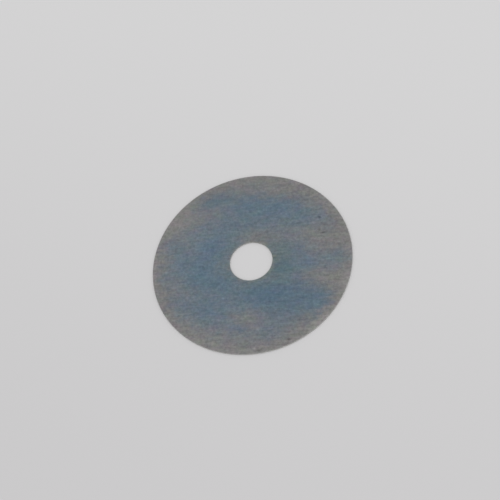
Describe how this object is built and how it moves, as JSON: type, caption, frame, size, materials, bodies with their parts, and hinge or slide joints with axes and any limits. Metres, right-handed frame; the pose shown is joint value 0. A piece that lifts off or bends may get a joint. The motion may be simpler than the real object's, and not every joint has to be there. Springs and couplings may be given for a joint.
{
  "type": "washer",
  "caption": "Thin flat ring washer stamped from sheet steel, wide for its bolt hole, with rolled-over cut edges and a worn blue oxide film.",
  "frame": {"origin": "on the hole's axis, at the lower face", "axes": "+Z along the hole's axis, out of the upper face, whose cut edges are rolled over; +X along the strip's rolling grain"},
  "size_m": [0.03, 0.03, 0.0002],
  "materials": {
    "blued_steel": "satin rolled strip with a thin blue temper film, worn off along the rim and in patches to bare grey steel"
  },
  "bodies": {
    "root": {"washer": "blued_steel"}
  },
  "joints": []
}
